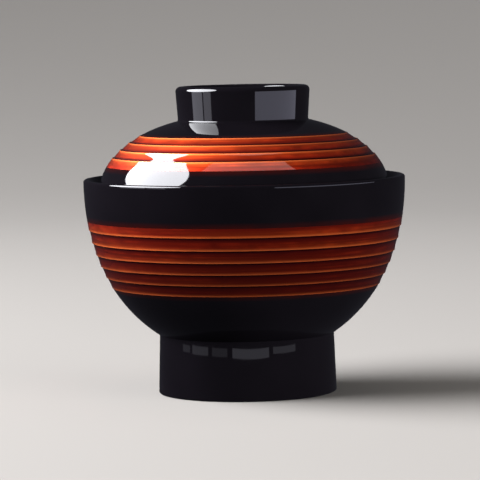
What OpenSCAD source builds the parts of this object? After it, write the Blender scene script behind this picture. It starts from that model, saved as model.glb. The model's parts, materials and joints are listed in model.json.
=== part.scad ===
// Lacquer soup bowl with its lid. The foot stands on z = 0, centred on the vertical axis.
// Bowl and lid are the same kind of shell: a curved wall that runs from a rounded edge to a
// flat seat, on which a turned ring stands. The bowl has its edge up and the lid has its edge down.

/* [Bowl] */
// Outer diameter of the bowl at its lip
bowl_d = 120; // [112:1:130]
// Height of the bowl's wall, from the foot ring's seat to the lip
bowl_h = 58.6; // [52:0.2:64]
// Fullness of the bowl's side: 2 is an ellipse, and more is fuller
bowl_fullness = 2.17; // [2:0.01:2.4]
// Thickness of the bowl's lip
lip_t = 2.4; // [2:0.1:3]
// Rounding of the lip's two edges, up to half its thickness
lip_round = 0.9; // [0.85:0.05:1]
// Thickness of the bowl's floor, over the foot ring's hollow
floor_t = 7; // [5:0.25:9]
// Fullness of the bowl's inside
hollow_fullness = 2.5; // [2.2:0.05:2.8]

/* [Foot ring] */
// Height of the foot ring
foot_h = 22; // [12:0.5:28]
// Diameter of the foot ring where it meets the bowl
foot_neck_d = 65.2; // [56:0.2:72]
// Diameter of the foot ring where it stands
foot_d = 66.6; // [58:0.2:74]
// Thickness of the foot ring
foot_wall = 4.5; // [3.5:0.25:6]
// Rounding of the foot ring's standing edges
foot_round = 0.8; // [0.4:0.1:1.6]
// Height of the spigot under the bowl that centres the foot ring
foot_spigot_h = 3; // [1.5:0.25:5]

/* [Lid] */
// Gap between the bowl's lip and the lid's edge, seen from above
lid_gap = 3.1; // [2:0.1:5]
// Height of the lid's wall, from its edge to the grip ring's seat
lid_h = 28.5; // [24:0.5:32]
// Fullness of the lid's side: 2 is an ellipse, and more is fuller
lid_fullness = 2.21; // [2:0.01:2.4]
// Thickness of the lid's edge
lid_edge_t = 3; // [2.4:0.1:3.6]
// Thickness of the lid's crown, under the grip ring's hollow
crown_t = 5; // [4:0.25:7]
// Depth of the lid's edge below the bowl's lip
seat_drop = 7.6; // [6:0.2:9]
// Gap between the lid's edge and the slope inside the lip that it rests on
seat_gap = 0.3; // [0.2:0.05:0.5]
// Height that the slope runs on below the lid's edge
seat_land = 0.6; // [0.4:0.1:2]

/* [Grip ring] */
// Height of the grip ring
grip_h = 13; // [8:0.5:16]
// Diameter of the grip ring where it meets the lid
grip_neck_d = 48.6; // [42:0.2:54]
// Diameter of the grip ring at its top
grip_d = 50; // [43:0.2:56]
// Thickness of the grip ring
grip_wall = 4.2; // [3.8:0.1:5.5]
// Rounding of the grip ring's top edges
grip_round = 1.8; // [0.8:0.1:1.8]
// Cove between the grip ring and the lid
grip_cove = 0.8; // [0.4:0.1:1.5]
// Height of the spigot on the lid that centres the grip ring
grip_spigot_h = 1.2; // [0.8:0.1:2.5]

/* [Ribbed bands] */
// Distance from the bowl's lip down to its red band
bowl_band_drop = 15.4; // [10:0.2:18]
// Height of the bowl's red band
bowl_band_h = 25; // [18:0.5:28]
// Number of ribs in the bowl's band
bowl_ribs = 6; // [3:1:9]
// Width of the rib nearest the lip, as a share of the others
bowl_first_rib = 0.7; // [0.5:0.05:1]
// Distance from the lid's edge up to its red band
lid_band_rise = 12.35; // [9:0.05:14]
// Height of the lid's red band
lid_band_h = 11.1; // [8:0.1:13]
// Number of ribs in the lid's band
lid_ribs = 4; // [2:1:6]
// Width of the rib nearest the lid's edge, as a share of the others
lid_first_rib = 1; // [0.5:0.05:1]
// Height of a rib's crest above the plain black wall
rib_proud = 0.1; // [0.05:0.05:0.25]
// Depth of a groove below the plain black wall
rib_sink = 0.25; // [0.1:0.05:0.4]
// Curl of a rib's face: 1 rises straight to the crest, and more turns out late
rib_curl = 3; // [1:0.25:5]

/* [Lacquer and glue] */
// Thickness of the ground and lacquer coats together
coat_t = 0.5; // [0.3:0.05:0.8]
// Glue line between a spigot and the ring around it
glue_gap = 0.1; // [0.05:0.05:0.2]

/* [Hidden] */

// Fineness: facets round the axis, and steps along a plain wall, a hollow, a rib and a rounding
$fn = 180;
wall_steps = 14;
hollow_steps = 28;
rib_steps = 5;
round_steps = 8;

bare_wood = "#b98d5e";
black_lacquer = "#17131a";
red_lacquer = "#a8300e";

lip_z = foot_h + bowl_h;
lid_edge_z = lip_z - seat_drop;
lid_r = bowl_d / 2 - lip_t - lid_gap;

foot_neck_r = foot_neck_d / 2;
foot_bore_r = foot_neck_r - foot_wall;
grip_neck_r = grip_neck_d / 2;
grip_bore_r = grip_neck_r - grip_wall;

// ---- Curves. Points are [radius, distance from the edge towards the ring's seat]. ----

// Height of the full curve whose wall reaches neck_r at height h
function full_height(r, h, k, neck_r) = h / pow(1 - pow(neck_r / r, k), 1 / k);
// A curve is [radius at the edge, full height, fullness]
bowl_curve = [bowl_d / 2, full_height(bowl_d / 2, bowl_h, bowl_fullness, foot_neck_r), bowl_fullness];
lid_seat_r = grip_neck_r + grip_cove;
lid_curve = [lid_r, full_height(lid_r, lid_h, lid_fullness, lid_seat_r), lid_fullness];

// Point at angle a, from 0 at the edge to 90 on the axis
function curve_point(c, a) = [c[0] * pow(cos(a), 2 / c[2]), c[1] * pow(sin(a), 2 / c[2])];
function unit(v) = v / norm(v);
function curve_normal(c, p) = unit([pow(p.x / c[0], c[2] - 1) / c[0], pow(p.y / c[1], c[2] - 1) / c[1]]);
// The same point, moved out of the curve by a distance
function off_curve(c, a, out) = let (p = curve_point(c, a)) p + out * curve_normal(c, p);
function angle_at_height(c, y) = asin(pow(y / c[1], c[2] / 2));
function angle_at_radius(c, x) = acos(pow(x / c[0], c[2] / 2));
// The angle that lies a distance back along the curve, towards its edge
function angle_back(c, a, distance) =
    a - distance / norm(curve_point(c, a + 0.5) - curve_point(c, a - 0.5));

// The wall after an angle, up to another one
function plain_wall(c, from, to, out) =
    [for (i = [1:wall_steps]) off_curve(c, from + (to - from) * i / wall_steps, out)];

// Height of a rib's face above the plain wall, at share u of its width. The face starts at the
// height root and turns out to the crest.
function rib_face(u, root) = root + (rib_proud - root) * pow(u, rib_curl);

// Ribbed wall between two angles. Each rib ends in a crest, and the wall steps back in to the next
// groove. The first rib starts flush with the plain wall, and the last step ends flush with it.
// Under a coat the steps lie back by the coat's thickness too, so that the coat covers them.
function ribbed_wall(c, from, to, ribs, first, depth) =
    let (width = (to - from) / (ribs - 1 + first))
    concat([for (i = [0:ribs - 1])
                let (start = i == 0 ? from : angle_back(c, from + (first + i - 1) * width, depth),
                     end = angle_back(c, from + (first + i) * width, depth),
                     root = i == 0 ? 0 : -rib_sink)
                for (j = [0:rib_steps])
                    let (u = j / rib_steps)
                    off_curve(c, start + (end - start) * u, rib_face(u, root) - depth)],
           [off_curve(c, angle_back(c, to, depth), -depth)]);

function arc(centre, r, from, to) =
    [for (i = [0:round_steps])
        let (a = from + (to - from) * i / round_steps) centre + r * [cos(a), sin(a)]];

// ---- Bowl ----

bowl_band_from = angle_at_height(bowl_curve, bowl_band_drop);
bowl_band_to = angle_at_height(bowl_curve, bowl_band_drop + bowl_band_h);
bowl_neck_angle = angle_at_radius(bowl_curve, foot_neck_r);
lip_angle = angle_at_height(bowl_curve, lip_round);
lip_outer_centre = [curve_point(bowl_curve, lip_angle).x - lip_round, lip_round];
lip_inner_centre = lip_outer_centre - [lip_t - 2 * lip_round, 0];

edge_r = lid_edge_t / 2;
lid_edge_angle = angle_at_height(lid_curve, edge_r);
lid_edge_centre = [curve_point(lid_curve, lid_edge_angle).x - edge_r, edge_r];

// The slope inside the lip touches the rounding of its inner edge, and the lid's rounded edge rests
// on it with seat_gap between them. Below it the wall turns down into the hollow.
edge_to_lip = lip_inner_centre - [lid_edge_centre.x, seat_drop - lid_edge_centre.y];
slope = acos((lip_round + edge_r + seat_gap) / norm(edge_to_lip))
        - atan2(-edge_to_lip.y, edge_to_lip.x);
slope_normal = [cos(slope), sin(slope)];
slope_start = lip_inner_centre - lip_round * slope_normal;
hollow_y = seat_drop + seat_land;
hollow_r = slope_start.x - (hollow_y - slope_start.y) * tan(slope);
hollow_curve = [hollow_r, bowl_h + foot_spigot_h - floor_t - hollow_y, hollow_fullness];

// The inside of the bowl, from the axis to the lip, at a depth below the finished surface
function bowl_inside(depth) = concat(
    [for (i = [hollow_steps:-1:1])
        off_curve(hollow_curve, 90 * i / hollow_steps, depth) + [0, hollow_y]],
    [[hollow_r + depth, hollow_y + depth * tan(slope / 2)]],
    arc(lip_inner_centre, lip_round - depth, 180 + slope, 270),
    arc(lip_outer_centre, lip_round - depth, 270, 360));
function bowl_above_band(depth) = plain_wall(bowl_curve, lip_angle, bowl_band_from, -depth);
function bowl_band(depth) =
    ribbed_wall(bowl_curve, bowl_band_from, bowl_band_to, bowl_ribs, bowl_first_rib, depth);

// A shell's outside past its band: the wall, the ring's seat and the spigot, to the axis
function past_band(c, from, to, seat_y, spigot_r, spigot_h, depth) =
    let (start = angle_back(c, from, depth),
         neck = curve_point(c, to),
         inwards = -curve_normal(c, neck),
         into_seat = [0, -1],
         corner = neck + depth * (inwards + into_seat) / (1 + inwards * into_seat),
         wall = plain_wall(c, start, to, -depth))
    concat([off_curve(c, start, -depth)],
           [for (i = [0:wall_steps - 2]) wall[i]],
           [corner,
            [spigot_r - depth, seat_y - depth],
            [spigot_r - depth, seat_y + spigot_h - depth],
            [0, seat_y + spigot_h - depth]]);
function bowl_past_band(depth) =
    past_band(bowl_curve, bowl_band_to, bowl_neck_angle, bowl_h, foot_bore_r - glue_gap,
              foot_spigot_h, depth);

// ---- Lid ----

lid_band_from = angle_at_height(lid_curve, lid_band_rise);
lid_band_to = angle_at_height(lid_curve, lid_band_rise + lid_band_h);
lid_neck_angle = angle_at_radius(lid_curve, lid_seat_r);
lid_hollow_curve = [lid_edge_centre.x - edge_r, lid_h + grip_spigot_h - crown_t - edge_r, lid_fullness];

// The inside of the lid, from the axis to the outside of its edge
function lid_inside(depth) = concat(
    [for (i = [hollow_steps:-1:1])
        off_curve(lid_hollow_curve, 90 * i / hollow_steps, depth) + [0, edge_r]],
    arc(lid_edge_centre, edge_r - depth, 180, 360));
function lid_below_band(depth) = plain_wall(lid_curve, lid_edge_angle, lid_band_from, -depth);
function lid_band(depth) =
    ribbed_wall(lid_curve, lid_band_from, lid_band_to, lid_ribs, lid_first_rib, depth);
function lid_past_band(depth) =
    past_band(lid_curve, lid_band_to, lid_neck_angle, lid_h, grip_bore_r - glue_gap,
              grip_spigot_h, depth);

// ---- Solids ----

function reversed(points) = [for (i = [len(points) - 1:-1:0]) points[i]];
// A coat lies between a finished surface and the wood under it
function coat(finished, under) = concat(finished, reversed(under));

// Turns an outline about the axis, with its edge at edge_z and its seat in direction up (1 or -1)
module turned(outline, edge_z, up) {
    rotate_extrude() polygon([for (p = outline) [p.x, edge_z + up * p.y]]);
}

// A ring standing on a seat: wall from neck_r to end_r, rounded at its free end, with a cove at
// its root. Points are [radius, distance from the seat].
function ring(neck_r, end_r, h, wall, rounding, cove) =
    let (inner_r = neck_r - wall, end_inner_r = end_r - wall)
    concat([[inner_r, 0]],
           cove > 0 ? arc([neck_r + cove, cove], cove, 270, 180) : [[neck_r, 0]],
           arc([end_r - rounding, h - rounding], rounding, 0, 90),
           arc([end_inner_r + rounding, h - rounding], rounding, 90, 180));

module bowl_wood() {
    color(bare_wood)
        turned(concat(bowl_inside(coat_t), bowl_above_band(coat_t), bowl_band(coat_t),
                      bowl_past_band(coat_t)), lip_z, -1);
}

module bowl_rim_lacquer() {
    color(black_lacquer)
        turned(coat(concat(bowl_inside(0), bowl_above_band(0)),
                    concat(bowl_inside(coat_t), bowl_above_band(coat_t))), lip_z, -1);
}

module bowl_red_band() {
    color(red_lacquer) turned(coat(bowl_band(0), bowl_band(coat_t)), lip_z, -1);
}

module bowl_base_lacquer() {
    color(black_lacquer) turned(coat(bowl_past_band(0), bowl_past_band(coat_t)), lip_z, -1);
}

module foot_ring() {
    color(black_lacquer)
        turned(ring(foot_neck_r, foot_d / 2, foot_h, foot_wall, foot_round, 0), foot_h, -1);
}

module lid_wood() {
    color(bare_wood)
        turned(concat(lid_inside(coat_t), lid_below_band(coat_t), lid_band(coat_t),
                      lid_past_band(coat_t)), lid_edge_z, 1);
}

module lid_edge_lacquer() {
    color(black_lacquer)
        turned(coat(concat(lid_inside(0), lid_below_band(0)),
                    concat(lid_inside(coat_t), lid_below_band(coat_t))), lid_edge_z, 1);
}

module lid_red_band() {
    color(red_lacquer) turned(coat(lid_band(0), lid_band(coat_t)), lid_edge_z, 1);
}

module lid_crown_lacquer() {
    color(black_lacquer) turned(coat(lid_past_band(0), lid_past_band(coat_t)), lid_edge_z, 1);
}

module grip_ring() {
    color(black_lacquer)
        turned(ring(grip_neck_r, grip_d / 2, grip_h, grip_wall, grip_round, grip_cove),
               lid_edge_z + lid_h, 1);
}

bowl_wood();
bowl_rim_lacquer();
bowl_red_band();
bowl_base_lacquer();
foot_ring();
lid_wood();
lid_edge_lacquer();
lid_red_band();
lid_crown_lacquer();
grip_ring();
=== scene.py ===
"""Dresses the turned soup bowl and its lid: mirror-polished black lacquer, with bands of turned
ribs under translucent red lacquer. Lengths are in metres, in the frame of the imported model."""

import json
import math

import bmesh
import bpy
from bpy.props import FloatProperty, FloatVectorProperty, IntProperty, PointerProperty
from bpy.types import Operator, Panel, PropertyGroup
from mathutils import Matrix, Vector

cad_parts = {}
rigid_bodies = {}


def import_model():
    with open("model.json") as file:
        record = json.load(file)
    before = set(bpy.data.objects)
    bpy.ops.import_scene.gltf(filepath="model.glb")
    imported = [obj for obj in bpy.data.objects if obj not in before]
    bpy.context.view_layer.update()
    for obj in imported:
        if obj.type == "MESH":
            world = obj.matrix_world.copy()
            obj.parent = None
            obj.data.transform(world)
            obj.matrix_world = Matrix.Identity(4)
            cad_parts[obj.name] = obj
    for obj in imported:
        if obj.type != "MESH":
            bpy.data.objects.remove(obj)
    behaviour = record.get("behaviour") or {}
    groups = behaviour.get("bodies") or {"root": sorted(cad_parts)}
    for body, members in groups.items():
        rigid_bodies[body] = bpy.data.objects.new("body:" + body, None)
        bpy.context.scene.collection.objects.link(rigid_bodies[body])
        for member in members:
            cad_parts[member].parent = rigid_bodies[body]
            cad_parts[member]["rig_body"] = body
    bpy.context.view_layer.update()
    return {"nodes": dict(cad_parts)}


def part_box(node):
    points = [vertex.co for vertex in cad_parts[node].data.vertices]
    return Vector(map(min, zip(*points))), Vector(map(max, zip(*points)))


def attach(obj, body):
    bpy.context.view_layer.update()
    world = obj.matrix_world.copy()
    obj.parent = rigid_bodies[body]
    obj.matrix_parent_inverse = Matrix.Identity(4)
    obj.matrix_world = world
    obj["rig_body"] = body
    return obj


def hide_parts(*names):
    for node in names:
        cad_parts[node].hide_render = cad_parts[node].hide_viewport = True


bl_info = {
    "name": "Lacquer Soup Bowl",
    "version": (1, 0, 0),
    "blender": (4, 5, 0),
    "location": "3D View > Sidebar > Soup Bowl",
    "description": "Builds the lacquer coats, the rings and the studio of a soup bowl with its lid",
    "category": "Object",
}

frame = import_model()

MM = 0.001
TURNS = 256  # facets round the axis
RIB_STEPS = 12  # facets across a rib's face
WALL_STEPS = 24  # facets between a band and the shell's edge, or its ring
LID_STEPS = 48  # facets from the edge of the lid's inside to the axis
BOWL_STEPS = 56  # facets from the edge of the bowl's inside to the axis
CORNER_STEPS = 4  # facets across a rounded corner
MERGE = MM / 10000  # points closer than this are one
SHARP = math.radians(34)  # edges that turn more than this are drawn sharp
NO_GROOVE = 10.0  # stands for a distance so long that the finish doesn't change, in millimetres

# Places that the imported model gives
RIM_LOW, RIM_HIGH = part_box("bowl_rim_lacquer")
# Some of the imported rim's facets reach less far out than others, so this is the least of them
LIP_R = min(-RIM_LOW.x, -RIM_LOW.y, RIM_HIGH.x, RIM_HIGH.y)
LIP_Z = RIM_HIGH.z
BOWL_FLOOR_Z = RIM_LOW.z
FOOT_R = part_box("foot_ring")[1].x
FOOT_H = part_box("foot_ring")[1].z
FOOT_SPIGOT_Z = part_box("bowl_base_lacquer")[0].z
LID_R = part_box("lid_edge_lacquer")[1].x
LID_EDGE_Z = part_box("lid_edge_lacquer")[0].z
LID_CEILING_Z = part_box("lid_edge_lacquer")[1].z
LID_SEAT_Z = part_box("grip_ring")[0].z
LID_SPIGOT_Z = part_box("lid_crown_lacquer")[1].z
GRIP_TOP_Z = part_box("grip_ring")[1].z


def linear(colour):
    """The linear colour of an sRGB hex value."""
    parts = [int(colour[i : i + 2], 16) / 255 for i in (1, 3, 5)]
    return [c / 12.92 if c <= 0.04045 else ((c + 0.055) / 1.055) ** 2.4 for c in parts]


def length(name, description, default):
    """A size in metres, for a group of sizes."""
    return FloatProperty(
        name=name, description=description, default=default, min=0, unit="LENGTH", precision=4
    )


def number(name, description, default):
    """A plain number of 0 or more."""
    return FloatProperty(name=name, description=description, default=default, min=0)


def angle(name, description, degrees):
    """An angle, whose default is given in degrees."""
    return FloatProperty(
        name=name, description=description, default=math.radians(degrees), subtype="ANGLE"
    )


def colour(name, description, default):
    """A colour, whose default is given as an sRGB hex value."""
    return FloatVectorProperty(
        name=name, description=description, default=linear(default), min=0, max=1, subtype="COLOR"
    )


# ---- What a user would change ----


class BowlSizes(PropertyGroup):
    """The bowl's wall and its band."""

    fullness: number("Fullness", "Fullness of the side: 2 is an ellipse", 2.17)
    edge: length("Lip", "Thickness of the lip", 2.4 * MM)
    edge_round: length("Lip rounding", "Rounding of the lip's two edges", 0.9 * MM)
    hollow_fullness: number("Hollow fullness", "Fullness of the inside", 2.5)
    band_start: length("Band start", "From the lip down to the red band", 15.4 * MM)
    band: length("Band height", "Height of the red band", 25 * MM)
    ribs: IntProperty(name="Ribs", description="Ribs in the band", default=6, min=2)
    first_rib: number("First rib", "Width of the rib nearest the lip, as a share", 0.7)
    # Painted shade: each rib lower down the bowl's band is painted darker, from the first rib's
    # value to the last's, as the ribs face further away from the light
    shade_first: number("Depth, first rib", "Depth of the red on the first rib, up to 1", 0.46)
    shade_last: number("Depth, last rib", "Depth of the red on the last rib, up to 1", 0.82)


class LidSizes(PropertyGroup):
    """The lid's wall, its band and its seat in the bowl."""

    fullness: number("Fullness", "Fullness of the side: 2 is an ellipse", 2.21)
    edge: length("Edge", "Thickness of the edge", 3 * MM)
    edge_round: length("Edge rounding", "Rounding of the edge, half its thickness", 1.5 * MM)
    seat_gap: length("Seat gap", "Gap between the edge and the slope it rests on", 0.3 * MM)
    seat_land: length("Seat land", "Height that the slope runs on below the edge", 0.6 * MM)
    band_start: length("Band start", "From the edge up to the red band", 12.35 * MM)
    band: length("Band height", "Height of the red band", 11.1 * MM)
    ribs: IntProperty(name="Ribs", description="Ribs in the band", default=4, min=2)
    first_rib: number("First rib", "Width of the rib nearest the edge, as a share", 1.0)
    # The lid's ribs face up to the light, so they get no painted shade
    shade_first: number("Depth, first rib", "Depth of the red on the first rib, up to 1", 0.0)
    shade_last: number("Depth, last rib", "Depth of the red on the last rib, up to 1", 0.0)


class LacquerSizes(PropertyGroup):
    """The turned ribs, which bowl and lid share, and the coats over them."""

    proud: length("Proud", "Height of a crest above the plain wall", 0.1 * MM)
    sink: length("Sink", "Depth of a groove below the plain wall", 0.25 * MM)
    curl: number("Curl", "1 rises straight to the crest, and more turns out late", 3.0)
    crest_round: length("Crest rounding", "Rounding of the crests", 0.15 * MM)
    groove_round: length("Groove rounding", "Lacquer that fills the grooves' corners", 0.1 * MM)
    coat: length("Coat", "Thickness of the ground and lacquer coats", 0.5 * MM)


class RingSizes(PropertyGroup):
    """The foot ring and the grip ring."""

    foot_neck: length("Foot neck", "Foot ring's diameter under the bowl", 65.2 * MM)
    foot_wall: length("Foot wall", "Foot ring's thickness", 4.5 * MM)
    foot_round: length("Foot rounding", "Rounding of its standing edges", 0.8 * MM)
    grip_neck: length("Grip neck", "Grip ring's diameter on the lid", 48.6 * MM)
    grip_top: length("Grip top", "Grip ring's diameter at its top", 50 * MM)
    grip_wall: length("Grip wall", "Grip ring's thickness", 4.2 * MM)
    grip_round: length("Grip rounding", "Rounding of its top edges", 1.8 * MM)
    grip_cove: length("Cove", "Cove between the grip ring and the lid", 0.8 * MM)
    glue: length("Glue line", "Gap between a spigot and its ring", 0.1 * MM)


class Finishes(PropertyGroup):
    """Colours of the lacquers and the wood."""

    black: colour("Black", "Polished black lacquer", "#0a080b")
    maroon: colour("Maroon", "Black lacquer where it runs out over the red", "#2a0806")
    crest: colour("Crest", "Red lacquer where it is thin, on the crests", "#fa7e3e")
    # Painted light: a face is painted in this lighter colour near its crest, where the face turns
    # up to the light
    bright: colour("Bright face", "Red lacquer on a rib's face, near its crest", "#f05c20")
    face: colour("Face", "Red lacquer on a rib's face, near its groove", "#bc3012")
    # This colour stands both for lacquer pooled in the grooves and for painted shade, in the
    # grooves and on the bowl's lower ribs
    groove: colour("Groove", "Red lacquer where it has pooled", "#3a0504")
    wood: colour("Wood", "Turned wood under the coats", "#b98d5e")


class Studio(PropertyGroup):
    """The camera, the backdrop and the light that comes from everywhere."""

    camera_back: length("Camera back", "Camera's distance in front of the axis", 1.1186)
    camera_up: length("Camera up", "Camera's height above the floor", 0.1423)
    pitch: angle("Pitch", "How far the camera looks down", 4.37)
    yaw: angle("Yaw", "How far the camera is turned to its left", 0.10)
    roll: angle("Roll", "How far the camera is rolled", -1.07)
    lens: FloatProperty(name="Lens", description="Focal length", default=225, unit="CAMERA")
    backdrop: colour("Backdrop", "Floor and backdrop", "#96928c")
    backdrop_light: number("Backdrop light", "Light on the floor and the backdrop alone", 0.6)
    room: colour("Room", "Dim light from all round", "#2c2c32")


# ---- Profiles. Points are (radius, distance from the edge towards the ring's seat). ----


class Wall:
    """A turned wall, upright at its edge, that closes in on the axis as a full ellipse does."""

    def __init__(self, radius, height, fullness, neck=0.0):
        """The wall comes in from radius to neck over height."""
        self.radius = radius
        self.fullness = fullness
        self.full_height = height / (1 - (neck / radius) ** fullness) ** (1 / fullness)

    def point(self, turn):
        """The point at an angle, from 0 at the edge to a right angle on the axis."""
        power = 2 / self.fullness
        across = self.radius * max(0.0, math.cos(turn)) ** power
        return Vector((across, self.full_height * math.sin(turn) ** power))

    def slope(self, point):
        """How fast the wall's own equation, which is 1 on the wall, grows at a point."""
        power = self.fullness - 1
        across = (point.x / self.radius) ** power / self.radius
        along = (point.y / self.full_height) ** power / self.full_height
        return self.fullness * Vector((across, along))

    def off(self, turn, out):
        """The point at an angle, moved out by a distance."""
        point = self.point(turn)
        return point + out * self.slope(point).normalized()

    def at_height(self, height):
        """The angle at which the wall has come in by a height."""
        return math.asin((height / self.full_height) ** (self.fullness / 2))

    def at_radius(self, radius):
        """The angle at which the wall has a radius."""
        return math.acos((radius / self.radius) ** (self.fullness / 2))

    def back(self, turn, distance):
        """The angle that lies a distance back along the wall, towards its edge."""
        step = math.radians(0.5)
        speed = (self.point(turn + step) - self.point(turn - step)).length / (2 * step)
        return turn - distance / speed

    def run(self, start, end, out, steps):
        """Points after the start angle, up to the end angle."""
        return [self.off(start + (end - start) * i / steps, out) for i in range(1, steps + 1)]

    def hollow(self, mouth, depth, steps):
        """The whole wall from the axis to its edge, which lies mouth away from the shell's."""
        return [p + Vector((0, mouth)) for p in self.run(0, math.pi / 2, depth, steps)[::-1]]


def arc(centre, radius, start, end, steps=10):
    """Points of an arc between two angles in degrees."""
    turns = [math.radians(start + (end - start) * i / steps) for i in range(steps + 1)]
    return [centre + radius * Vector((math.cos(a), math.sin(a))) for a in turns]


class Shell:
    """The bowl's or the lid's wall with its rounded edge and its ribbed band. A depth leads from
    the finished surface to the wood under it."""

    def __init__(self, radius, height, neck, sizes):
        self.wall = Wall(radius, height, sizes.fullness, neck)
        self.seat = height
        self.sizes = sizes
        self.coats = bpy.context.scene.bowl_lacquer
        self.neck = self.wall.at_radius(neck)
        self.band_start = self.wall.at_height(sizes.band_start)
        self.band_end = self.wall.at_height(sizes.band_start + sizes.band)
        self.edge_r = sizes.edge_round
        self.edge = self.wall.at_height(self.edge_r)
        self.edge_centre = Vector((self.wall.point(self.edge).x - self.edge_r, self.edge_r))
        self.inner_centre = self.edge_centre - Vector((sizes.edge - 2 * self.edge_r, 0))

    def before_band(self, depth):
        """The wall from its rounded edge to the band."""
        return self.wall.run(self.edge, self.band_start, -depth, WALL_STEPS)

    def band(self, depth):
        """The ribs from the edge's side on: each is a face that turns out to a crest, and then a
        step back in. Under the coat the steps lie back by its thickness too."""
        ribs, first = self.sizes.ribs, self.sizes.first_rib
        width = (self.band_end - self.band_start) / (ribs - 1 + first)
        points = []
        for i in range(ribs):
            turn = self.band_start + (first + i - 1) * width
            start = self.band_start if i == 0 else self.wall.back(turn, depth)
            end = self.wall.back(turn + width, depth)
            root = 0.0 if i == 0 else -self.coats.sink
            for j in range(RIB_STEPS + 1):
                u = j / RIB_STEPS
                out = root + (self.coats.proud - root) * u**self.coats.curl
                points.append(self.wall.off(start + (end - start) * u, out - depth))
        points.append(self.wall.off(self.wall.back(self.band_end, depth), -depth))
        return points

    def crest_places(self):
        """The places of the crests in the band's points. A groove's corner follows each crest."""
        return range(RIB_STEPS, self.sizes.ribs * (RIB_STEPS + 1), RIB_STEPS + 1)

    def rounding(self):
        """The rounding at each crest and at each groove, by its place in the band's points."""
        rounding = {i: self.coats.crest_round for i in self.crest_places()}
        rounding.update({i + 1: self.coats.groove_round for i in self.crest_places()})
        return rounding

    def along_ribs(self):
        """How far each of the band's points lies from its own rib's groove and from its crest, in
        millimetres, and how much painted shade its rib carries. The first rib starts flush, without
        a groove."""
        band = self.band(0)
        first, last = self.sizes.shade_first, self.sizes.shade_last
        from_groove, from_crest, deep = [], [], []
        for i in range(self.sizes.ribs):
            start = i * (RIB_STEPS + 1)
            rib = band[start : start + RIB_STEPS + 1]
            from_groove += [(p - rib[0]).length / MM if i else NO_GROOVE for p in rib]
            from_crest += [(p - rib[-1]).length / MM for p in rib]
            # Painted shade, growing from the first rib to the last
            deep += [first + (last - first) * math.sqrt(i / (self.sizes.ribs - 1))] * len(rib)
        return {
            "from_groove": [*from_groove, 0.0],
            "from_crest": [*from_crest, NO_GROOVE],
            "deep": [*deep, last],
        }

    def from_band(self, outline):
        """How far each point of a black coat's outline lies from the red band, in millimetres."""
        ends = (self.wall.point(self.band_start), self.wall.point(self.band_end))
        return [min((p - end).length for end in ends) / MM for p in outline]

    def after_band(self, depth, spigot_r, spigot_h):
        """The wall past the band, the ring's seat and the spigot, to the axis."""
        start = self.wall.back(self.band_end, depth)
        neck = self.wall.point(self.neck)
        inwards = -self.wall.slope(neck).normalized()
        into_seat = Vector((0, -1))
        corner = neck + depth * (inwards + into_seat) / (1 + inwards.dot(into_seat))
        seat = self.seat - depth
        return [
            self.wall.off(start, -depth),
            *self.wall.run(start, self.neck, -depth, WALL_STEPS)[:-1],
            corner,
            Vector((spigot_r - depth, seat)),
            Vector((spigot_r - depth, seat + spigot_h)),
            Vector((0, seat + spigot_h)),
        ]


def bowl_shell():
    """The bowl's wall, from its lip down to the foot ring."""
    scene = bpy.context.scene
    return Shell(LIP_R, LIP_Z - FOOT_H, scene.bowl_rings.foot_neck / 2, scene.bowl_sizes)


def lid_shell():
    """The lid's wall, from its edge up to the grip ring's cove."""
    scene = bpy.context.scene
    neck = scene.bowl_rings.grip_neck / 2 + scene.bowl_rings.grip_cove
    return Shell(LID_R, LID_SEAT_Z - LID_EDGE_Z, neck, scene.lid_sizes)


def lid_inside(lid, depth):
    """The inside of the lid, from the axis to the outside of its edge."""
    ceiling = LID_CEILING_Z - LID_EDGE_Z - lid.edge_r
    hollow = Wall(lid.edge_centre.x - lid.edge_r, ceiling, lid.sizes.fullness)
    edge = arc(lid.edge_centre, lid.edge_r - depth, 180, 360)
    return hollow.hollow(lid.edge_r, depth, LID_STEPS) + edge


def bowl_inside(bowl, lid, depth):
    """The inside of the bowl, from the axis to the outside of its lip. Inside the lip a slope
    touches the rounding of its inner edge, and the lid's edge rests on it."""
    drop = LIP_Z - LID_EDGE_Z
    to_lip = bowl.inner_centre - Vector((lid.edge_centre.x, drop - lid.edge_centre.y))
    reach = bowl.edge_r + lid.edge_r + lid.sizes.seat_gap
    slope = math.acos(reach / to_lip.length) - math.atan2(-to_lip.y, to_lip.x)
    top = bowl.inner_centre - bowl.edge_r * Vector((math.cos(slope), math.sin(slope)))
    land = drop + lid.sizes.seat_land
    hollow_r = top.x - (land - top.y) * math.tan(slope)
    hollow = Wall(hollow_r, LIP_Z - BOWL_FLOOR_Z - land, bowl.sizes.hollow_fullness)
    corner = Vector((hollow_r + depth, land + depth * math.tan(slope / 2)))
    inner = arc(bowl.inner_centre, bowl.edge_r - depth, 180 + math.degrees(slope), 270)
    outer = arc(bowl.edge_centre, bowl.edge_r - depth, 270, 360)
    return [*hollow.hollow(land, depth, BOWL_STEPS), corner, *inner, *outer]


def ring_outline(neck_r, end_r, height, wall, rounding, cove):
    """A ring on its seat, rounded at its free end. Points are (radius, distance from the seat)."""
    root = arc(Vector((neck_r + cove, cove)), cove, 270, 180) if cove else [Vector((neck_r, 0))]
    outer = arc(Vector((end_r - rounding, height - rounding)), rounding, 0, 90)
    inner = arc(Vector((end_r - wall + rounding, height - rounding)), rounding, 90, 180)
    return [Vector((neck_r - wall, 0)), *root, *outer, *inner]


# ---- Turning an outline into a piece ----


def up_from(z):
    """Places a profile whose distances go up from a height."""
    return lambda p: Vector((p.x, 0, z + p.y))


def down_from(z):
    """Places a profile whose distances go down from a height."""
    return lambda p: Vector((p.x, 0, z - p.y))


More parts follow.
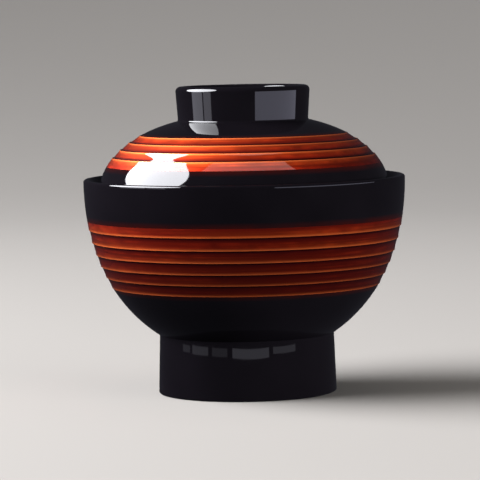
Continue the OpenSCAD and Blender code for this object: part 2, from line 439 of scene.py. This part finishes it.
def turned(name, outline, place, node, finish, marks=None, rounding=None):
    """Turns a closed outline about the Z axis into a piece that stands for a CAD node. rounding
    gives some of its corners a radius. marks names a value and gives it for each of the outline's
    points, for the finish to read."""
    bm = bmesh.new()
    places = [place(p) for p in outline]
    corners = [bm.verts.new(p) for p in places]
    for first, second in zip(corners, corners[1:] + corners[:1]):
        if max(first.co.x, second.co.x) > 0:
            bm.edges.new((first, second))
    rounding = rounding or {}
    for radius in sorted(set(rounding.values())):
        bmesh.ops.bevel(
            bm,
            geom=[corners[i] for i in rounding if rounding[i] == radius],
            affect="VERTICES",
            offset=radius,
            segments=CORNER_STEPS,
            profile=0.5,
            material=-1,
        )
    for mark, values in (marks or {}).items():
        layer = bm.verts.layers.float.new(mark)
        for vert in bm.verts:
            nearest = min(range(len(places)), key=lambda i: (places[i] - vert.co).length)
            vert[layer] = values[nearest]
    bmesh.ops.spin(
        bm,
        geom=bm.verts[:] + bm.edges[:],
        cent=(0, 0, 0),
        axis=(0, 0, 1),
        angle=math.tau,
        steps=TURNS,
        use_merge=True,
    )
    bmesh.ops.remove_doubles(bm, verts=bm.verts, dist=MERGE)
    bmesh.ops.recalc_face_normals(bm, faces=bm.faces)
    for face in bm.faces:
        face.smooth = True
    for edge in bm.edges:
        edge.smooth = edge.calc_face_angle(0) < SHARP
    mesh = bpy.data.meshes.new(name)
    bm.to_mesh(mesh)
    bm.free()
    piece = bpy.data.objects.new(name, mesh)
    bpy.context.collection.objects.link(piece)
    piece.data.materials.append(finish)
    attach(piece, frame["nodes"][node]["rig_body"])
    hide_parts(node)
    return piece


# ---- Finishes ----


def new_material(name):
    """An empty material. The operators share each material by its name."""
    material = bpy.data.materials.get(name) or bpy.data.materials.new(name)
    material.use_nodes = True
    material.node_tree.nodes.clear()
    return material


def add(owner, kind, inputs=None, **settings):
    """Adds a node with its settings. An input is a value, or the socket of another node."""
    made = owner.node_tree.nodes.new("ShaderNode" + kind)
    for name, value in settings.items():
        setattr(made, name, value)
    for name, value in (inputs or {}).items():
        if isinstance(value, bpy.types.NodeSocket):
            owner.node_tree.links.new(value, made.inputs[name])
        else:
            made.inputs[name].default_value = value
    return made


def mix(material, amount, first, second):
    """A colour between two others, which are values or sockets."""
    inputs = {0: amount, 6: first, 7: second}
    return add(material, "Mix", inputs, data_type="RGBA").outputs[2]


def mapped(material, value, start, end, first, last):
    """Takes a value from the range start to end into the range first to last, and no further."""
    inputs = {
        "Value": value,
        "From Min": start,
        "From Max": end,
        "To Min": first,
        "To Max": last,
    }
    return add(material, "MapRange", inputs).outputs["Result"]


def share(material, value, start, end):
    """How far a value has come from start to end, from 0 to 1."""
    return mapped(material, value, start, end, 0.0, 1.0)


def noise(material, size, detail=2.0, squash=1.0):
    """Noise of a size in metres, flattened along the axis by squash."""
    place = add(material, "TexCoord").outputs["Object"]
    scale = (1 / size, 1 / size, squash / size)
    stretched = add(material, "Mapping", {"Vector": place, "Scale": scale}).outputs["Vector"]
    inputs = {"Vector": stretched, "Scale": 1.0, "Detail": detail}
    return add(material, "TexNoise", inputs).outputs["Fac"]


def finish_with(material, **inputs):
    """Ends a material in one shader with these inputs."""
    named = {name.replace("_", " "): value for name, value in inputs.items()}
    shader = add(material, "BsdfPrincipled", named)
    add(material, "OutputMaterial", {"Surface": shader.outputs["BSDF"]})
    return material


def attribute(material, name):
    """A mark that a turned piece carries, or 0 where it has none of that name."""
    return add(material, "Attribute", attribute_name=name).outputs["Fac"]


def both(material, first, second):
    """The product of two values."""
    return add(material, "Math", {0: first, 1: second}, operation="MULTIPLY").outputs["Value"]


def polished_black_lacquer():
    """Black lacquer, brushed on in many coats, rubbed flat with charcoal and polished by hand. It
    is a deep, faintly purple black with a mirror's gloss. What it mirrors wavers softly, and a
    little maroon shows where it runs out over the red bands."""
    colours = bpy.context.scene.bowl_finishes
    material = new_material("polished_black_lacquer")
    depth = share(material, noise(material, 30 * MM), 0.3, 0.7)
    black = mix(material, depth, [*colours.black, 1], [*(1.5 * Vector(colours.black)), 1])
    # Maroon comes in over the last 2.2 mm before a band. The second share keeps the rings black:
    # they have no such mark, so it reads as 0.
    edge = both(
        material,
        share(material, attribute(material, "from_band"), 2.2, 0.2),
        share(material, attribute(material, "from_band"), 0.0, 0.01),
    )
    smears = share(material, noise(material, 9 * MM, 3.0), 0.35, 0.65)
    rubbed = share(material, smears, -1.0, 1.0)
    waves = add(
        material,
        "Bump",
        {"Height": noise(material, 22 * MM, 1.0), "Strength": 0.1, "Distance": 0.1 * MM},
    )
    return finish_with(
        material,
        Base_Color=mix(material, both(material, edge, rubbed), black, [*colours.maroon, 1]),
        Roughness=mapped(material, smears, 0.0, 1.0, 0.02, 0.05),
        IOR=1.52,
        Normal=waves.outputs["Normal"],
    )


def red_lacquer_over_ribs():
    """Clear red lacquer over turned wood. It is thin on the crests, where the pale ground glows
    orange. Each face is painted lighter towards its crest, as painted light where the face turns up
    to the lamps, and darker red away from it. By the grooves it is maroon, partly lacquer that has
    pooled there and partly painted shade. The turning tool's fine lines show through it, and the
    wood's satin fibres light up round each spot that mirrors a light. Its surface is polished like
    glass. On the bowl each rib lower down is painted darker, as painted shade on ribs that face
    away from the light."""
    colours = bpy.context.scene.bowl_finishes
    material = new_material("red_lacquer_over_ribs")
    # Each rib's painted shade, which darkens the lower ribs of the bowl
    rib_shade = attribute(material, "deep")
    from_crest = attribute(material, "from_crest")
    from_groove = attribute(material, "from_groove")
    # Tool lines run round the axis, about 0.9 mm apart, and each rib differs a little in tone
    tool_lines = share(material, noise(material, 40 * MM, 1.0, 45), 0.4, 0.6)
    tones = share(material, noise(material, 50 * MM, 1.0, 10), 0.3, 0.6)
    clouds = share(material, noise(material, 7 * MM, 3.0, 2.0), 0.3, 0.7)
    # The distances in the shares below are in millimetres
    # Painted light: each face is painted lighter towards its crest, where it turns up to the light
    lit = both(material, share(material, from_crest, 3.0, 0.3), tones)
    face = mix(material, lit, [*colours.face, 1], [*colours.bright, 1])
    lines = both(material, tool_lines, clouds)
    dark = mapped(material, lines, 0.0, 1.0, 0.6, 0.0)
    lined = mix(material, dark, face, [*colours.groove, 1])
    # Painted shade: the lower ribs of the bowl are darkened towards the groove colour
    deep = mix(material, rib_shade, lined, [*colours.groove, 1])
    # Within 1.8 mm of a groove the red turns maroon: partly lacquer pooled there, partly painted
    # shade at the foot of the step beside it
    pooled = mix(material, share(material, from_groove, 1.8, 0.6), deep, [*colours.groove, 1])
    near_crest = share(material, from_crest, 1.2, 0.1)
    # The painted shade on the lower ribs also dims the crests' glow and the wood's satin
    glow = share(material, rib_shade, 1.2, 0.2)
    satin = mapped(material, rib_shade, 0.0, 0.3, 0.95, 0.7)
    thin = both(material, both(material, near_crest, near_crest), glow)
    return finish_with(
        material,
        Base_Color=mix(material, thin, pooled, [*colours.crest, 1]),
        Metallic=satin,
        Roughness=0.57,
        Specular_IOR_Level=0.0,
        Coat_Weight=1.0,
        Coat_Roughness=0.03,
        Coat_IOR=1.52,
    )


def turned_wood():
    """Close-grained wood, turned on a lathe from a block that was cut beside the tree's heart. It
    is pale brown and matt, with growth rings about 3 mm apart, dark pores drawn out along the
    grain, and the tool's faint lines round it."""
    colours = bpy.context.scene.bowl_finishes
    material = new_material("turned_wood")
    place = add(material, "TexCoord").outputs["Object"]
    # A scale of 105 sets the rings 3 mm apart
    from_heart = add(material, "Mapping", {"Vector": place, "Location": (0.12, 0.0, 0.05)})
    growth = add(
        material,
        "TexWave",
        {"Vector": from_heart.outputs["Vector"], "Scale": 105.0, "Distortion": 4.0, "Detail": 3.0},
        wave_type="RINGS",
        rings_direction="Y",
    )
    along_grain = add(material, "Mapping", {"Vector": place, "Scale": (1600, 90, 1600)})
    grain = add(material, "TexNoise", {"Vector": along_grain.outputs["Vector"], "Scale": 1.0})
    pores = share(material, grain.outputs["Fac"], 0.58, 0.72)
    tool_lines = share(material, noise(material, 30 * MM, 1.0, 60), 0.3, 0.7)
    late = share(material, growth.outputs["Fac"], 0.45, 1.0)
    ringed = mix(material, late, [*colours.wood, 1], [*(0.55 * Vector(colours.wood)), 1])
    pored = mix(material, pores, ringed, [*(0.3 * Vector(colours.wood)), 1])
    roughness = mapped(material, tool_lines, 0.0, 1.0, 0.5, 0.7)
    return finish_with(material, Base_Color=pored, Roughness=roughness, IOR=1.5)


def backdrop_paper():
    """Matt paper, pale and even."""
    colours = bpy.context.scene.bowl_studio
    material = new_material("backdrop_paper")
    return finish_with(material, Base_Color=[*colours.backdrop, 1], Roughness=0.9)


# ---- Studio ----

# The soft lights: name, azimuth of the middle in degrees from the camera's side to the right,
# height of the middle, width and height, distance, brightness where white paper is 1, and tint.
# The lacquer mirrors the round softbox and three low strips.
SOFTBOX = ("softbox", -88, 1.22, (1.82, 1.82), 1.3, 18.5, "#f8f9ff")
STRIPS = (
    ("low_left", -85, 0.17, (0.54, 0.25), 1.3, 2.0, "#f0f0ff"),
    ("low_left_front", -63.5, 0.17, (0.34, 0.25), 1.3, 1.5, "#f0f0ff"),
    ("low_right", 62.5, 0.15, (2.30, 0.20), 1.3, 1.6, "#e6e6ff"),
)
# A fill for the right side, which the lacquer doesn't mirror
RIGHT_FILL = ("right_fill", 52, 0.08, (1.0, 0.4), 1.3, 31.0, "#ffffff")
# A ceiling that lights the red coats alone, so that the black of the lid stays deep
CEILING = ("ceiling", 5, 2.6, (3.4, 3.2), 1.2, 1.7, "#fff4ec")
# A row of small low panes, which only the foot mirrors: azimuth, height, width and height, and
# brightness
PANES = (
    (-77, 0.0112, (0.026, 0.004), 0.30),
    (-57, 0.0112, (0.050, 0.005), 0.45),
    (-32, 0.0112, (0.042, 0.005), 0.25),
    (4, 0.0105, (0.100, 0.006), 0.60),
    (44, 0.0118, (0.066, 0.004), 0.45),
)
PANE_DISTANCE = 0.13
PANE_TINT = "#f0f0ff"
BACKDROP_R = 4.0
BACKDROP_BEND = 3.0
BEND_STEPS = 24
BACKDROP_LAMP_Z = 2.5
BACKDROP_LAMP_WIDTH = 3.0
SENSOR_WIDTH = 36  # in millimetres, as the focal length


def soft_light(name, azimuth, height, size, distance, brightness, tint, shape="RECTANGLE"):
    """An upright soft light that faces the axis."""
    light = bpy.data.lights.new(name, "AREA")
    light.shape = shape
    light.size, light.size_y = size
    area = light.size * light.size_y * (math.pi / 4 if shape == "ELLIPSE" else 1)
    light.energy = brightness * math.pi * area
    light.color = linear(tint)
    lamp = bpy.data.objects.new(name, light)
    bpy.context.scene.collection.objects.link(lamp)
    lamp.matrix_world = (
        Matrix.Rotation(math.radians(azimuth), 4, "Z")
        @ Matrix.Translation((0, -distance, height))
        @ Matrix.Rotation(math.pi / 2, 4, "X")
    )
    lamp.visible_camera = False
    return lamp


def lit_alone(name, pieces, lamps):
    """Makes lamps shine on some pieces alone."""
    lit = bpy.data.collections.new(name)
    for piece in pieces:
        lit.objects.link(piece)
    for lamp in lamps:
        lamp.light_linking.receiver_collection = lit


def backdrop():
    """A round floor that bends up into a wall all round. The lacquer doesn't mirror it, as the
    polish would turn grey from it."""
    bm = bmesh.new()
    middle = Vector((BACKDROP_R - BACKDROP_BEND, BACKDROP_BEND))
    outline = [Vector((0, 0)), *arc(middle, BACKDROP_BEND, 270, 360, BEND_STEPS)]
    outline.append(Vector((BACKDROP_R, BACKDROP_R)))
    corners = [bm.verts.new((p.x, 0, p.y)) for p in outline]
    for first, second in zip(corners, corners[1:]):
        bm.edges.new((first, second))
    bmesh.ops.spin(
        bm,
        geom=bm.verts[:] + bm.edges[:],
        cent=(0, 0, 0),
        axis=(0, 0, 1),
        angle=math.tau,
        steps=TURNS,
        use_merge=True,
    )
    bmesh.ops.remove_doubles(bm, verts=bm.verts, dist=MM)
    for face in bm.faces:
        face.smooth = True
        if face.normal.dot(Vector((0, 0, BACKDROP_R)) - face.calc_center_median()) < 0:
            face.normal_flip()
    mesh = bpy.data.meshes.new("backdrop")
    bm.to_mesh(mesh)
    bm.free()
    mesh.materials.append(backdrop_paper())
    made = bpy.data.objects.new("backdrop", mesh)
    bpy.context.scene.collection.objects.link(made)
    made.visible_diffuse = False
    made.visible_glossy = False
    return made


def backdrop_lamp(brightness):
    """A light above the backdrop."""
    light = bpy.data.lights.new("backdrop_light", "AREA")
    light.size = BACKDROP_LAMP_WIDTH
    light.energy = brightness * math.pi * light.size**2
    lamp = bpy.data.objects.new("backdrop_light", light)
    bpy.context.scene.collection.objects.link(lamp)
    lamp.location = (0, 0, BACKDROP_LAMP_Z)
    lamp.visible_camera = False
    lamp.visible_glossy = False
    return lamp


def room_light(colour):
    """Dim light from all round."""
    world = bpy.data.worlds.new("room")
    world.use_nodes = True
    world.node_tree.nodes.clear()
    room = add(world, "Background", {"Color": [*colour, 1]})
    add(world, "OutputWorld", {"Surface": room.outputs["Background"]})
    bpy.context.scene.world = world


def aimed_camera(studio):
    """The camera in front of the bowl, at the photograph's angle."""
    lens = bpy.data.cameras.new("camera")
    lens.lens = studio.lens
    lens.sensor_width = SENSOR_WIDTH
    camera = bpy.data.objects.new("camera", lens)
    bpy.context.scene.collection.objects.link(camera)
    camera.matrix_world = (
        Matrix.Translation((0, -studio.camera_back, studio.camera_up))
        @ Matrix.Rotation(studio.yaw, 4, "Z")
        @ Matrix.Rotation(math.pi / 2 - studio.pitch, 4, "X")
        @ Matrix.Rotation(studio.roll, 4, "Z")
    )
    return camera


# ---- Operators ----


class SOUPBOWL_OT_bowl_coats(Operator):
    """Build the bowl's black coats, above and below its band"""

    bl_idname = "soupbowl.bowl_coats"
    bl_label = "Bowl Coats"

    def execute(self, context):
        scene = context.scene
        bowl, lid = bowl_shell(), lid_shell()
        finish = polished_black_lacquer()
        coat = scene.bowl_lacquer.coat
        rings = scene.bowl_rings
        spigot_r = rings.foot_neck / 2 - rings.foot_wall - rings.glue
        spigot_h = FOOT_H - FOOT_SPIGOT_Z
        place = down_from(LIP_Z)
        upper = [bowl_inside(bowl, lid, d) + bowl.before_band(d) for d in (0, coat)]
        lower = [bowl.after_band(d, spigot_r, spigot_h) for d in (0, coat)]
        for name, (finished, under), node in (
            ("bowl_upper_coat", upper, "bowl_rim_lacquer"),
            ("bowl_lower_coat", lower, "bowl_base_lacquer"),
        ):
            outline = finished + under[::-1]
            turned(name, outline, place, node, finish, {"from_band": bowl.from_band(outline)})
        return {"FINISHED"}


class SOUPBOWL_OT_lid_coats(Operator):
    """Build the lid's black coats, below and above its band"""

    bl_idname = "soupbowl.lid_coats"
    bl_label = "Lid Coats"

    def execute(self, context):
        scene = context.scene
        lid = lid_shell()
        finish = polished_black_lacquer()
        coat = scene.bowl_lacquer.coat
        rings = scene.bowl_rings
        spigot_r = rings.grip_neck / 2 - rings.grip_wall - rings.glue
        spigot_h = LID_SPIGOT_Z - LID_SEAT_Z
        place = up_from(LID_EDGE_Z)
        lower = [lid_inside(lid, d) + lid.before_band(d) for d in (0, coat)]
        upper = [lid.after_band(d, spigot_r, spigot_h) for d in (0, coat)]
        for name, (finished, under), node in (
            ("lid_lower_coat", lower, "lid_edge_lacquer"),
            ("lid_upper_coat", upper, "lid_crown_lacquer"),
        ):
            outline = finished + under[::-1]
            turned(name, outline, place, node, finish, {"from_band": lid.from_band(outline)})
        return {"FINISHED"}


class SOUPBOWL_OT_red_bands(Operator):
    """Build the red coats over the ribs of the bowl and the lid"""

    bl_idname = "soupbowl.red_bands"
    bl_label = "Red Bands"

    def execute(self, context):
        coat = context.scene.bowl_lacquer.coat
        finish = red_lacquer_over_ribs()
        for name, shell, place, node in (
            ("bowl_red_coat", bowl_shell(), down_from(LIP_Z), "bowl_red_band"),
            ("lid_red_coat", lid_shell(), up_from(LID_EDGE_Z), "lid_red_band"),
        ):
            outline = shell.band(0) + shell.band(coat)[::-1]
            marks = {mark: runs + runs[::-1] for mark, runs in shell.along_ribs().items()}
            turned(name, outline, place, node, finish, marks, shell.rounding())
        return {"FINISHED"}


class SOUPBOWL_OT_rings(Operator):
    """Build the foot ring and the grip ring"""

    bl_idname = "soupbowl.rings"
    bl_label = "Rings"

    def execute(self, context):
        rings = context.scene.bowl_rings
        finish = polished_black_lacquer()
        foot = ring_outline(
            rings.foot_neck / 2, FOOT_R, FOOT_H, rings.foot_wall, rings.foot_round, 0
        )
        grip = ring_outline(
            rings.grip_neck / 2,
            rings.grip_top / 2,
            GRIP_TOP_Z - LID_SEAT_Z,
            rings.grip_wall,
            rings.grip_round,
            rings.grip_cove,
        )
        turned("foot", foot, down_from(FOOT_H), "foot_ring", finish)
        turned("grip", grip, up_from(LID_SEAT_Z), "grip_ring", finish)
        return {"FINISHED"}


class SOUPBOWL_OT_wood(Operator):
    """Finish the turned wood under the coats"""

    bl_idname = "soupbowl.wood"
    bl_label = "Wood"

    def execute(self, context):
        finish = turned_wood()
        for node in ("bowl_wood", "lid_wood"):
            mesh = frame["nodes"][node].data
            mesh.materials.clear()
            mesh.materials.append(finish)
        return {"FINISHED"}


class SOUPBOWL_OT_studio(Operator):
    """Set up the floor, the soft lights and the camera"""

    bl_idname = "soupbowl.studio"
    bl_label = "Studio"

    def execute(self, context):
        scene = context.scene
        studio = scene.bowl_studio
        scene.view_settings.view_transform = "Standard"
        room_light(studio.room)
        soft_light(*SOFTBOX, shape="ELLIPSE")
        for strip in STRIPS:
            soft_light(*strip)
        fill = soft_light(*RIGHT_FILL)
        fill.visible_glossy = False
        red_coats = [bpy.data.objects[name] for name in ("bowl_red_coat", "lid_red_coat")]
        lit_alone("red_coats", red_coats, [soft_light(*CEILING)])
        panes = [
            soft_light("pane", azimuth, height, size, PANE_DISTANCE, brightness, PANE_TINT)
            for azimuth, height, size, brightness in PANES
        ]
        for pane in panes:
            pane.visible_diffuse = False
        lit_alone("beside_foot", [bpy.data.objects["foot"]], panes)
        floor = backdrop()
        lit_alone("stage", [floor], [backdrop_lamp(studio.backdrop_light)])
        scene.camera = aimed_camera(studio)
        return {"FINISHED"}


class SOUPBOWL_PT_panel(Panel):
    """The soup bowl's sizes, finishes and steps"""

    bl_idname = "SOUPBOWL_PT_panel"
    bl_label = "Lacquer Soup Bowl"
    bl_space_type = "VIEW_3D"
    bl_region_type = "UI"
    bl_category = "Soup Bowl"

    def draw(self, context):
        for group, label in GROUPS.items():
            box = self.layout.box()
            box.label(text=label)
            settings = getattr(context.scene, group)
            for name in settings.__annotations__:
                box.prop(settings, name)
        for step in STEPS:
            self.layout.operator(step.bl_idname)


STEPS = (
    SOUPBOWL_OT_bowl_coats,
    SOUPBOWL_OT_lid_coats,
    SOUPBOWL_OT_red_bands,
    SOUPBOWL_OT_rings,
    SOUPBOWL_OT_wood,
    SOUPBOWL_OT_studio,
)
GROUPS = {
    "bowl_sizes": "Bowl",
    "lid_sizes": "Lid",
    "bowl_lacquer": "Ribs and coats",
    "bowl_rings": "Rings",
    "bowl_finishes": "Finishes",
    "bowl_studio": "Studio",
}
GROUP_TYPES = (BowlSizes, LidSizes, LacquerSizes, RingSizes, Finishes, Studio)


def register():
    for made in (*GROUP_TYPES, *STEPS, SOUPBOWL_PT_panel):
        bpy.utils.register_class(made)
    for group, made in zip(GROUPS, GROUP_TYPES):
        setattr(bpy.types.Scene, group, PointerProperty(type=made))


def unregister():
    for group in GROUPS:
        delattr(bpy.types.Scene, group)
    for made in reversed((*GROUP_TYPES, *STEPS, SOUPBOWL_PT_panel)):
        bpy.utils.unregister_class(made)


def main():
    register()
    bpy.ops.soupbowl.bowl_coats()
    bpy.ops.soupbowl.lid_coats()
    bpy.ops.soupbowl.red_bands()
    bpy.ops.soupbowl.rings()
    bpy.ops.soupbowl.wood()
    bpy.ops.soupbowl.studio()


if __name__ == "__main__":
    main()
